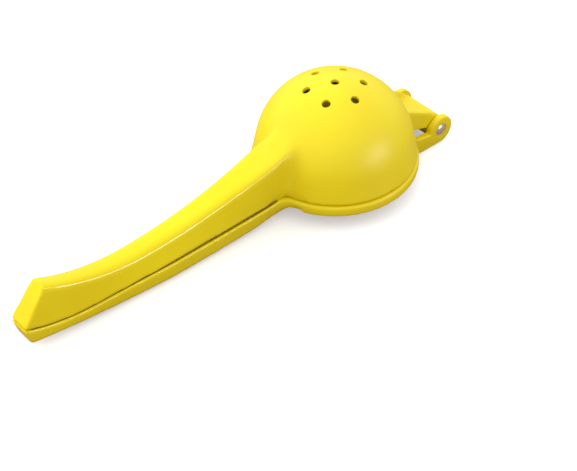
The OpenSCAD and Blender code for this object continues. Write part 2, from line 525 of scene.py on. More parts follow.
def linear(hex_colour: str) -> tuple[float, float, float, float]:
    """Turns an sRGB hex colour into the linear colour that shaders take.

    Args:
        hex_colour: The colour as #RRGGBB.

    Returns:
        Red, green, blue and full opacity.
    """
    parts = [int(hex_colour[i : i + 2], 16) / 255 for i in (1, 3, 5)]
    parts = [c / 12.92 if c <= 0.04045 else ((c + 0.055) / 1.055) ** 2.4 for c in parts]
    return (parts[0], parts[1], parts[2], 1.0)


def add_node(
    tree: bpy.types.NodeTree, kind: str, settings: dict | None = None, links: dict | None = None
) -> bpy.types.Node:
    """Adds a shader node, sets it and links its inputs.

    Args:
        tree: The node tree.
        kind: Blender's name of the node type.
        settings: Attribute or input names with their values.
        links: Input names with the output sockets that feed them.

    Returns:
        The new node.
    """
    node = tree.nodes.new(kind)
    for key, value in (settings or {}).items():
        if isinstance(key, int) or key in node.inputs:
            node.inputs[key].default_value = value
        else:
            setattr(node, key, value)
    for key, socket in (links or {}).items():
        tree.links.new(socket, node.inputs[key])
    return node


def new_material(name: str) -> tuple[bpy.types.Material, bpy.types.NodeTree]:
    """Makes an empty node material.

    Args:
        name: Name of the material.

    Returns:
        The material and its node tree.
    """
    material = bpy.data.materials.new(name)
    material.use_nodes = True
    material.node_tree.nodes.clear()
    return material, material.node_tree


@dataclass(frozen=True)
class StovedEnamel:
    """Glossy stoved enamel, sprayed on a bead-blasted aluminium casting.

    The coat is thick, with a faint orange peel left by the spray gun and a slow drift
    in depth of colour where it is thicker. The bowl keeps the coat's own soft gloss,
    and the handles are polished brighter by the hands that squeeze them. The polish
    fades between grip_from and grip_to, which are places along the squeezer in metres.
    """

    name: str = "stoved_enamel_lemon_yellow"
    thin: str = "#F5E10E"
    thick: str = "#F1DA06"
    drift_mm: float = 28.0
    drift_low: float = 0.35
    drift_high: float = 0.65
    peel_mm: float = 1.6
    peel_high_mm: float = 0.1
    peel_depth: float = 0.06
    ior: float = 1.55
    bowl_rough: float = 0.38
    grip_rough: float = 0.11
    drift_rough: float = 0.05
    specular: float = 0.38
    grip_from: float = 0.022
    grip_to: float = -0.004

    def make(self) -> bpy.types.Material:
        """Builds the material.

        Returns:
            The material.
        """
        material, tree = new_material(self.name)
        where = add_node(tree, "ShaderNodeTexCoord").outputs["Object"]
        drift = add_node(
            tree, "ShaderNodeTexNoise",
            {"Scale": 1 / (self.drift_mm * MM), "Detail": 2.0, "Roughness": 0.5},
            {"Vector": where},
        )
        depth = add_node(
            tree, "ShaderNodeMapRange",
            {"From Min": self.drift_low, "From Max": self.drift_high},
            {"Value": drift.outputs["Fac"]},
        )
        colour = add_node(
            tree, "ShaderNodeMix", {"data_type": "RGBA", 6: linear(self.thin), 7: linear(self.thick)},
            {0: depth.outputs["Result"]},
        )
        along = add_node(tree, "ShaderNodeSeparateXYZ", None, {"Vector": where}).outputs["X"]
        polish = add_node(
            tree, "ShaderNodeMapRange",
            {
                "From Min": self.grip_from, "From Max": self.grip_to,
                "To Min": self.bowl_rough, "To Max": self.grip_rough,
            },
            {"Value": along},
        )
        gloss = add_node(
            tree, "ShaderNodeMath", {"operation": "MULTIPLY_ADD", 1: self.drift_rough},
            {0: drift.outputs["Fac"], 2: polish.outputs["Result"]},
        )
        peel = add_node(
            tree, "ShaderNodeTexNoise",
            {"Scale": 1 / (self.peel_mm * MM), "Detail": 1.0, "Roughness": 0.4},
            {"Vector": where},
        )
        bump = add_node(
            tree, "ShaderNodeBump",
            {"Strength": self.peel_depth, "Distance": self.peel_high_mm * MM},
            {"Height": peel.outputs["Fac"]},
        )
        shader = add_node(
            tree, "ShaderNodeBsdfPrincipled",
            {"IOR": self.ior, "Specular IOR Level": self.specular, "Metallic": 0.0},
            {
                "Base Color": colour.outputs[2], "Roughness": gloss.outputs[0],
                "Normal": bump.outputs["Normal"],
            },
        )
        add_node(tree, "ShaderNodeOutputMaterial", None, {"Surface": shader.outputs["BSDF"]})
        return material


@dataclass(frozen=True)
class TurnedSteel:
    """Bright steel bar, parted off on a lathe.

    The pin's ends show fine rings from the parting tool and catch the room's light.
    A wave texture at scale 1 draws about 3.2 rings per unit, which is 20 / tau.
    """

    name: str = "turned_bright_steel"
    bright: str = "#FCFAFC"
    dull: str = "#E8E4E7"
    ring_mm: float = 0.35
    rings_per_unit: float = 3.2
    ring_high_mm: float = 0.05
    ring_depth: float = 0.15
    rough: float = 0.24

    def make(self, centre: Point3) -> bpy.types.Material:
        """Builds the material.

        Args:
            centre: A point on the pin's axis, in metres.

        Returns:
            The material.
        """
        material, tree = new_material(self.name)
        where = add_node(tree, "ShaderNodeTexCoord").outputs["Object"]
        centred = add_node(
            tree, "ShaderNodeMapping", {"vector_type": "POINT", "Location": tuple(-c for c in centre)},
            {"Vector": where},
        )
        scale = 1 / (self.ring_mm * MM) / self.rings_per_unit
        rings = add_node(
            tree, "ShaderNodeTexWave",
            {"wave_type": "RINGS", "rings_direction": "Y", "Scale": scale, "Distortion": 0.6},
            {"Vector": centred.outputs["Vector"]},
        )
        colour = add_node(
            tree, "ShaderNodeMix", {"data_type": "RGBA", 6: linear(self.bright), 7: linear(self.dull)},
            {0: rings.outputs["Fac"]},
        )
        bump = add_node(
            tree, "ShaderNodeBump",
            {"Strength": self.ring_depth, "Distance": self.ring_high_mm * MM},
            {"Height": rings.outputs["Fac"]},
        )
        shader = add_node(
            tree, "ShaderNodeBsdfPrincipled", {"Metallic": 1.0, "Roughness": self.rough},
            {"Base Color": colour.outputs[2], "Normal": bump.outputs["Normal"]},
        )
        add_node(tree, "ShaderNodeOutputMaterial", None, {"Surface": shader.outputs["BSDF"]})
        return material


@dataclass(frozen=True)
class PaintedBoard:
    """White painted board, rolled on smooth, under the squeezer.

    It is matt and even, glows to near white before the camera and keeps the squeezer's
    soft shadow. All other light meets a darker, warmer board, so it bounces little back.
    """

    name: str = "white_painted_board"
    seen: str = "#EDEDEF"
    bounce: str = "#9C8880"
    lift: float = 0.35

    def make(self) -> bpy.types.Material:
        """Builds the material.

        Returns:
            The material.
        """
        material, tree = new_material(self.name)
        seen = add_node(tree, "ShaderNodeLightPath").outputs["Is Camera Ray"]
        dim = add_node(tree, "ShaderNodeBsdfDiffuse", {"Color": linear(self.bounce)})
        board = add_node(tree, "ShaderNodeBsdfDiffuse", {"Color": linear(self.seen)})
        lift = add_node(tree, "ShaderNodeEmission", {"Color": WHITE, "Strength": self.lift})
        both = add_node(tree, "ShaderNodeAddShader", None, {0: board.outputs[0], 1: lift.outputs[0]})
        mix = add_node(
            tree, "ShaderNodeMixShader", None, {0: seen, 1: dim.outputs[0], 2: both.outputs[0]}
        )
        add_node(tree, "ShaderNodeOutputMaterial", None, {"Surface": mix.outputs[0]})
        return material


# ---------------------------------------------------------------- the castings' common form


@dataclass(frozen=True)
class Form:
    """Sizes that both castings share, in millimetres and degrees, in design axes.

    The handles start at handle_start, inside the bowl. Their faces part by up to both
    reliefs near the bowl: relief_l is how far that goes, relief_lead how far inside the
    rim it starts, and relief_lean, below 1, draws the widest place towards the bowl.
    """

    handle_start: float = -20.0
    handle_l: float = 155.0
    handle_w: float = 15.2
    tip_w: float = 9.6
    taper_x: float = 90.0
    wall: float = 2.8
    gap: float = 0.4
    upper_relief: float = 0.25
    lower_relief: float = 0.8
    relief_l: float = 105.0
    relief_lead: float = 1.0
    relief_lean: float = 0.4
    channel_round: float = 1.2
    channel_over: float = 1.0
    fan_x: float = 118.0
    back_h: float = 10.4
    back_x: float = 103.0
    back_bowl_r: float = 245.0
    back_tip_r: float = 86.0
    back_tip_half: float = 3.6
    back_fall: float = 0.016
    flare_x: float = 97.0
    back_flare: float = 0.0006
    belly_draft: float = 4.0
    root_x: float = 24.0
    root_r: float = 15.0
    belly_h: float = 9.3
    belly_x: float = 65.0
    belly_r: float = 680.0
    bend_x: float = 125.0
    bend_r: float = 82.0
    upper_slant: float = 37.0
    lower_slant: float = 14.0
    pin_x: float = 48.6
    pin_drop: float = 7.0
    pin_d: float = 5.6
    hinge_w: float = 27.0
    ear_t: float = 2.6
    ear_r: float = 6.4
    side_clearance: float = 0.3
    rim_r: float = 34.0
    flange_r: float = 34.5
    flange_h: float = 5.0

    def parting(self, x: float) -> float:
        """Height of the parting line."""
        past = max(0.0, -self.bend_x - x)
        return self.bend_r - math.sqrt(self.bend_r**2 - past**2)

    def face(self, x: float, side: float) -> float:
        """Height of a handle's face at the parting gap, which opens a little near the bowl.

        Args:
            x: Place along the handle.
            side: 1 for the upper handle, -1 for the lower one.

        Returns:
            The face's height.
        """
        share = min(1.0, max(0.0, (-x - self.rim_r + self.relief_lead) / self.relief_l))
        relief = self.upper_relief if side > 0 else self.lower_relief
        opening = relief * math.sin(math.pi * share**self.relief_lean) ** 2
        return self.parting(x) + side * (self.gap / 2 + opening)

    def back(self, x: float, depth: float = 0.0) -> float:
        """Height of the upper handle's back, or of a line a depth inside it."""
        radius = self.back_bowl_r if x > -self.back_x else self.back_tip_r
        return self.back_h + radius - math.sqrt((radius + depth) ** 2 - (x + self.back_x) ** 2)

    def belly(self, x: float, depth: float = 0.0) -> float:
        """Height of the lower handle's belly, or of a line a depth inside it.

        Near the bowl the belly turns up to meet the flange's underside at root_x.

        Args:
            x: Place along the handle.
            depth: How far inside the belly the line lies.

        Returns:
            The belly's or the line's height.
        """
        top = self.belly_r - self.belly_h
        long_curve = top - math.sqrt((self.belly_r - depth) ** 2 - (x + self.belly_x) ** 2)
        low = top - math.sqrt(self.belly_r**2 - (self.root_x - self.belly_x) ** 2)
        rise = self.flange_bottom() - low
        centre_x = -self.root_x - math.sqrt(self.root_r**2 - (self.root_r - rise) ** 2)
        if x < centre_x:
            return long_curve
        past = min(x, -self.root_x) - centre_x
        turned_up = low + self.root_r - math.sqrt(self.root_r**2 - past**2)
        return max(long_curve, turned_up)

    def slanted_end(
        self, height: Callable[[float], float], slant: float, inset: float = 0.0
    ) -> float:
        """Finds where an end face meets a height curve.

        Args:
            height: The curve that the end face runs into.
            slant: The end face's slant from upright, in degrees.
            inset: How far the end face is moved in.

        Returns:
            X of the meeting point.
        """
        tip_x = -self.handle_l
        tip_z = self.parting(tip_x)
        x = tip_x
        for _ in range(END_ROUNDS):
            x = tip_x + inset + abs(height(x) - tip_z) * math.tan(math.radians(slant))
        return x

    def half_width(self, x: float) -> float:
        """Measures both handles at the parting line.

        Args:
            x: Place along the handle.

        Returns:
            Half their width there.
        """
        past = max(0.0, -self.taper_x - x)
        taper = (self.handle_w - self.tip_w) / (self.handle_l - self.taper_x)
        return (self.handle_w - past * taper) / 2

    def back_half(self, x: float) -> float:
        """Measures the upper handle's back, which flares out towards the bowl.

        Args:
            x: Place along the handle.

        Returns:
            Half its width there.
        """
        flare = self.back_flare * max(0.0, x + self.flare_x) ** 2
        narrow = self.back_tip_half + (x + self.handle_l) * self.back_fall + flare
        return min(self.half_width(x), narrow)

    def belly_half(self, x: float) -> float:
        """Half the width of the lower handle at its belly."""
        depth = self.parting(x) - self.belly(x)
        return self.half_width(x) - depth * math.tan(math.radians(self.belly_draft))

    def fan(self, x: float, end_x: float) -> float:
        """Moves a place so that sections fan out from fan_x, the last upright one, to an end face."""
        share = max(0.0, (-self.fan_x - x) / (self.handle_l - self.fan_x))
        return x + share * (end_x + self.handle_l)

    def upper_stations(
        self, start_x: float, inset: float = 0.0, low: float | None = None
    ) -> list[Station]:
        """Lists the upper handle's sections, or those of its channel.

        Args:
            start_x: Where the first section stands.
            inset: How far inside the handle's back, sides and end the sections lie.
            low: How high the lower edge lies over the parting line, or None for the handle's face.

        Returns:
            The sections from the bowl to the tip.
        """
        end_x = self.slanted_end(lambda x: self.back(x, inset), self.upper_slant, inset)
        stations = []
        for x in spread(start_x, -self.handle_l, STATION_STEP):
            low_x = self.fan(x, -self.handle_l + inset)
            high_x = self.fan(x, end_x)
            low_z = self.face(low_x, 1.0) if low is None else self.parting(low_x) + low
            stations.append(Station(
                (low_x, low_z), self.half_width(low_x) - inset,
                (high_x, self.back(high_x, inset)), self.back_half(high_x) - inset,
            ))
        return stations

    def lower_stations(
        self, start_x: float, inset: float = 0.0, high: float | None = None
    ) -> list[Station]:
        """Lists the lower handle's sections, or those of its channel.

        Args:
            start_x: Where the first section stands.
            inset: How far inside the handle's belly, sides and end the sections lie.
            high: How high the upper edge lies over the parting line, or None for the handle's face.

        Returns:
            The sections from the bowl to the tip.
        """
        end_x = self.slanted_end(lambda x: self.belly(x, inset), self.lower_slant, inset)
        stations = []
        for x in spread(start_x, -self.handle_l, STATION_STEP):
            low_x = self.fan(x, end_x)
            high_x = self.fan(x, -self.handle_l + inset)
            high_z = self.face(high_x, -1.0) if high is None else self.parting(high_x) + high
            stations.append(Station(
                (low_x, self.belly(low_x, inset)), self.belly_half(low_x) - inset,
                (high_x, high_z), self.half_width(high_x) - inset,
            ))
        return stations

    def channel_start(self) -> float:
        """Where both channels start, a wall outside the bowl's rim."""
        return -(self.rim_r + self.wall)

    def flange_bottom(self) -> float:
        """Height of the flange's underside."""
        return -self.gap / 2 - self.flange_h

    def pin_centre(self) -> Point2:
        """Place of the pin's axis, as [x, z]."""
        return (self.pin_x, -self.pin_drop)

    def along_pin(self) -> Matrix:
        """Returns the matrix that lays a piece turned round Z along the pin's axis."""
        lift = Matrix.Translation((self.pin_x, 0.0, -self.pin_drop))
        return lift @ Matrix.Rotation(math.pi / 2, 4, "X")

    def stand(self) -> Matrix:
        """Stands the squeezer on its ears and its belly, which tilts it a little.

        Returns:
            The matrix from design millimetres to metres on the floor.
        """
        pin = Vector((self.pin_x, -self.pin_drop))
        belly_centre = Vector((-self.belly_x, self.belly_r - self.belly_h))
        tilt = math.acos((self.belly_r - self.ear_r) / (belly_centre - pin).length)
        tilt -= math.atan((self.pin_x + self.belly_x) / (belly_centre.y - pin.y))
        turn = Matrix.Rotation(-tilt, 4, "Y")
        pin_at = turn @ Vector((pin.x, 0.0, pin.y))
        tip_at = turn @ Vector((-self.handle_l, 0.0, self.parting(-self.handle_l)))
        middle = (pin_at.x + self.ear_r + tip_at.x) / 2
        shift = Matrix.Translation((-middle, 0.0, self.ear_r - pin_at.z))
        return Matrix.Scale(MM, 4) @ shift @ turn


# ---------------------------------------------------------------- bowl arm


@dataclass
class BowlArm:
    """The upper casting: perforated bowl, handle and hinge lug.

    The names that end in passes say how often a corner is eased. The neck's corner with
    the dome starts at neck_from, the lug's at lug_from, and the back's two edges are eased
    from each of edge_from up to edge_to.
    """

    form: Form = field(default_factory=Form)
    bowl_r: float = 32.6
    dome_lift: float = 3.2
    skirt_draft: float = 12.0
    skirt_top: float = 10.0
    dome_steps: int = 44
    bowl_wall: float = 3.0
    crown_thin: float = 1.5
    hole_d: float = 3.5
    hole_lip: float = 0.3
    lip_inside: float = 0.2
    lip_outside: float = 0.02
    ring_holes: int = 6
    ring_angle: float = 21.0
    ring_turn: float = 30.0
    back_round: float = 2.6
    parting_round: float = 0.5
    tip_round: float = 1.0
    tip_sharp: float = 25.0
    rim_round: float = 0.3
    mouth_round: float = 0.7
    drill_over: float = 3.0
    barrel_r: float = 4.9
    rib_t: float = 2.2
    rib_h: float = 11.0
    rib_slope: float = 29.0
    rib_turn: float = 3.0
    web_t: float = 2.8
    web_h: float = 1.0
    web_rise: float = 2.9
    bore_clearance: float = 0.06
    voxel: float = 0.5
    neck_blend: tuple[tuple[float, int, Neck], ...] = (
        (10.0, 60, Neck.TOP),
        (7.5, 60, Neck.TOP),
        (8.0, 45, Neck.SIDES),
        (6.0, 45, Neck.SIDES),
        (5.0, 30, Neck.ALL),
        (9.0, 10, Neck.ALL),
    )
    neck_from: float = -14.0
    neck_floor: float = 0.3
    neck_edge: float = 0.6
    edge_from: tuple[float, ...] = (-58.0, -50.0)
    edge_to: float = -38.0
    edge_below: float = 5.0
    edge_inside: float = 3.5
    edge_passes: int = 5
    lug_from: float = 26.0
    lug_floor: float = 0.8
    lug_reach: float = 2.0
    lug_passes: int = 12
    skin_passes: int = 8

    def cup_section(
        self, radius: float, lift: float, bottom: float, round_r: float, flare: bool
    ) -> list[Point2]:
        """Draws half a section of the dome and its drafted skirt.

        Args:
            radius: Radius of the dome.
            lift: Height of the dome's centre.
            bottom: Height of the rim.
            round_r: Rounding at the rim.
            flare: Whether the rounding opens outwards, as for the cavity's mouth.

        Returns:
            Points from the top of the axis round to its bottom.
        """
        draft = math.radians(self.skirt_draft)
        points = arc((0.0, lift), radius, 90.0, self.skirt_draft, self.dome_steps)
        rim = radius / math.cos(draft) + (lift - bottom) * math.tan(draft)
        lean = round_r * math.tan(draft)
        if flare:
            wide = rim - lean + round_r
            points += arc((wide, bottom + round_r), round_r, 180.0, 270.0, LIP_STEPS)
            points += [(wide, bottom - self.drill_over), (0.0, bottom - self.drill_over)]
        else:
            points += arc((rim - lean - round_r, bottom + round_r), round_r, 0.0, -90.0, LIP_STEPS)
            points += [(0.0, bottom)]
        points[0] = (0.0, lift + radius)
        return points

    def handle(self) -> bpy.types.Object:
        """Models the handle's solid body: its back, its parting edges and its tip rounded.

        Returns:
            The body, which reaches into the bowl.
        """
        form = self.form
        end_x = form.slanted_end(form.back, form.upper_slant)
        slope = math.tan(math.radians(form.upper_slant))
        tip_z = form.parting(-form.handle_l)

        def on_back(middle: Vector) -> bool:
            """Finds the edges along the back, clear of both its ends.

            Args:
                middle: The edge's middle.

            Returns:
                Whether it is one of them.
            """
            if not end_x + 0.2 < middle.x < form.handle_start - 1.0:
                return False
            return beside_line(middle, form.back(middle.x), LINE_REACH)

        def on_face(middle: Vector) -> bool:
            """Tells whether an edge runs along the parting gap outside the bowl."""
            return middle.x < -form.rim_r and beside_line(middle, form.face(middle.x, 1.0), FACE_REACH)

        def on_tip(middle: Vector) -> bool:
            """Tells whether an edge bounds the slanted end face above the parting gap."""
            off_face = middle.x + form.handle_l - (middle.z - tip_z) * slope
            return abs(off_face) < 0.5 and middle.z > tip_z + 0.8

        body = lofted("handle", form.upper_stations(form.handle_start))
        round_edges(body, self.back_round, segments=8, test=on_back)
        round_edges(body, self.parting_round, segments=3, test=on_face)
        round_edges(body, self.tip_round, segments=4, test=on_tip, sharp_deg=self.tip_sharp)
        return body

    def lug(self) -> bpy.types.Object:
        """Models the hinge lug: barrel, web and two ribs, clear of the flange.

        Returns:
            The lug, which reaches through the bowl's wall.
        """
        form = self.form
        width = form.hinge_w - 2 * (form.ear_t + form.side_clearance)
        cavity_r = self.bowl_r - self.bowl_wall
        pin_z = -form.pin_drop
        barrel = rod("barrel", self.barrel_r, width, form.pin_centre(), sides=72)
        fall = (self.web_h - pin_z - self.web_rise) / (form.pin_x - form.rim_r)
        web_start = self.web_h + (form.rim_r - cavity_r) * fall
        web_end = pin_z + self.web_rise
        half = self.web_t / 2
        web = slab(
            "web",
            [
                (cavity_r, web_start + half), (form.pin_x, web_end + half),
                (form.pin_x, web_end - half), (cavity_r, web_start - half),
            ],
            -width / 2, width,
        )
        turn_x = form.pin_x - self.rib_turn
        turn_z = self.rib_h - (turn_x - cavity_r) * math.tan(math.radians(self.rib_slope))
        reach = math.hypot(turn_x - form.pin_x, turn_z - pin_z)
        angle = math.atan2(turn_z - pin_z, turn_x - form.pin_x) - math.acos(self.barrel_r / reach)
        touch = (form.pin_x + self.barrel_r * math.cos(angle), pin_z + self.barrel_r * math.sin(angle))
        side = [
            (cavity_r, self.rib_h), (turn_x, turn_z), touch, (form.pin_x, pin_z),
            (cavity_r, form.gap / 2),
        ]
        ribs = [
            slab("rib", side, -width / 2, self.rib_t),
            slab("rib", side, width / 2 - self.rib_t, self.rib_t),
        ]
        lug = join([web, barrel, *ribs], "lug")
        weld_skin(lug, self.voxel)
        clear_selection()
        depth = 20.0
        bpy.ops.mesh.primitive_cylinder_add(
            vertices=192, radius=form.flange_r + form.side_clearance, depth=depth,
            location=(0.0, 0.0, form.gap / 2 - depth / 2),
        )
        combine(lug, name_piece("flange_clearance"), Cut.REMOVE)
        return lug

    def drills(self, inner_r: float) -> bpy.types.Object:
        """Models the drills for the drain holes, one in the middle and a ring round it.

        Args:
            inner_r: How far from the dome's centre the holes open into the bowl.

        Returns:
            The drills, with a small lip at both ends of each hole.
        """
        lip = self.hole_lip
        wide = self.hole_d / 2 + lip
        start = inner_r - self.drill_over
        end = self.bowl_r + self.drill_over
        section = [(0.0, start), (wide, start)]
        section += arc((wide, inner_r + lip - self.lip_inside), lip, 270.0, 180.0, LIP_STEPS)
        section += arc((wide, self.bowl_r - lip - self.lip_outside), lip, 180.0, 90.0, LIP_STEPS)
        section += [(wide, end), (0.0, end)]
        drill = turned("drill", section, steps=32)
        centre = Matrix.Translation((0.0, 0.0, self.dome_lift))
        place(drill, centre)
        drills = [drill]
        lean = Matrix.Rotation(math.radians(self.ring_angle), 4, "Y")
        for i in range(self.ring_holes):
            azimuth = math.radians(self.ring_turn + i * 360.0 / self.ring_holes)
            turn = Matrix.Rotation(azimuth, 4, "Z") @ lean
            ring_drill = copy_of(drill, "drill")
            place(ring_drill, centre @ turn @ centre.inverted())
            drills.append(ring_drill)
        return join(drills, "drills")

    def cutters(self) -> bpy.types.Object:
        """Models what is taken out: cavity, drain holes, handle channel and pin bore.

        The cavity's centre is lifted, so the wall thins from the rim up to the crown.

        Returns:
            All cutters in one object.
        """
        form = self.form
        cavity_r = self.bowl_r - self.bowl_wall
        lift = self.dome_lift + self.crown_thin
        section = self.cup_section(cavity_r, lift, form.gap / 2, self.mouth_round, flare=True)
        cavity = turned("cavity", section)
        combine(cavity, self.drills(cavity_r + self.crown_thin), Cut.UNITE)

        def on_roof(middle: Vector) -> bool:
            """Tells whether an edge runs along the channel's roof."""
            return middle.z > form.back(middle.x, form.wall) - 0.2 and abs(middle.y) > 1.0

        stations = form.upper_stations(form.channel_start(), form.wall, -form.channel_over)
        channel = lofted("channel", stations)
        round_edges(channel, form.channel_round, segments=4, test=on_roof)
        bore_r = form.pin_d / 2 + self.bore_clearance
        bore = rod("bore", bore_r, form.hinge_w, form.pin_centre(), sides=64)
        return join([cavity, channel, bore], "bowl_cutters")

    def near_dome(self, point: Vector, reach: float) -> bool:
        """Tells whether a point lies within reach of the dome's surface.

        Args:
            point: The point.
            reach: How far from the surface it may lie.

        Returns:
            Whether it does. The dome is a ball above skirt_top and a cone below it.
        """
        up = point.z - self.dome_lift
        ball = math.hypot(point.x, point.y, up)
        draft = math.radians(self.skirt_draft)
        cone = math.hypot(point.x, point.y) * math.cos(draft) + up * math.sin(draft)
        return abs((ball if point.z > self.skirt_top else cone) - self.bowl_r) < reach

    def in_neck(self, reach: float, part: Neck) -> Test:
        """Returns the test for a part of the corner between dome and handle.

        Args:
            reach: How far from the dome and from the handle the part goes.
            part: Which part of the corner.

        Returns:
            The test of a vertex's place.
        """
        form = self.form
        edge = self.neck_edge * self.back_round

        def test(point: Vector) -> bool:
            """Finds the vertices of that part.

            Args:
                point: The vertex's place.

            Returns:
                Whether it is one of them.
            """
            if point.x > self.neck_from or point.z < form.gap / 2 + self.neck_floor:
                return False
            over = point.z - form.back(point.x)
            beside = abs(point.y) - form.handle_w / 2
            inside = {
                Neck.SIDES: abs(beside) < reach and over < -edge,
                Neck.TOP: abs(over) < reach and beside < -edge,
                Neck.ALL: abs(max(over, beside)) < reach,
            }
            return inside[part] and self.near_dome(point, reach)

        return test

    def on_back_edge(self, start_x: float) -> Test:
        """Returns the test for the back's two edges between the handle and the bowl.

        Args:
            start_x: Where along the handle the eased stretch starts.

        Returns:
            The test of a vertex's place.
        """
        form = self.form

        def test(point: Vector) -> bool:
            """Finds the vertices near the two edges.

            Args:
                point: The vertex's place.

            Returns:
                Whether it is one of them.
            """
            if not start_x < point.x < self.edge_to:
                return False
            high = point.z > form.back(point.x) - self.edge_below
            return high and abs(point.y) > form.back_half(point.x) - self.edge_inside

        return test

    def at_lug(self, reach: float) -> Test:
        """Returns the test for the corner between dome and lug.

        Args:
            reach: How far from the dome the corner goes.

        Returns:
            The test of a vertex's place.
        """
        half = self.form.hinge_w / 2

        def test(point: Vector) -> bool:
            """Finds the vertices of the corner.

            Args:
                point: The vertex's place.

            Returns:
                Whether it is one of them.
            """
            if point.x <= self.lug_from or point.z <= self.lug_floor or abs(point.y) >= half:
                return False
            return self.near_dome(point, reach)

        return test

    def build(self) -> bpy.types.Object:
        """Casts the arm and cuts it out.

        Returns:
            The finished arm on the floor.
        """
        form = self.form
        section = self.cup_section(
            self.bowl_r, self.dome_lift, form.gap / 2, self.rim_round, flare=False
        )
        dome = turned("dome", section)
        arm = join([dome, self.handle(), self.lug()], "bowl_arm_casting")
        weld_skin(arm, self.voxel)
        ease(arm, self.skin_passes)
        for start_x in self.edge_from:
            ease(arm, self.edge_passes, self.on_back_edge(start_x))
        for reach, passes, part in self.neck_blend:
            ease(arm, passes, self.in_neck(reach, part))
        ease(arm, self.lug_passes, self.at_lug(self.lug_reach))
        combine(arm, self.cutters(), Cut.REMOVE)
        shade(arm)
        place(arm, form.stand())
        return arm

    def dress(self, arm: bpy.types.Object, enamel: bpy.types.Material) -> None:
        """Enamels the arm and puts it in its node's place."""
        put(arm, enamel, "bowl_arm", "bowl_arm")


# ---------------------------------------------------------------- plunger arm


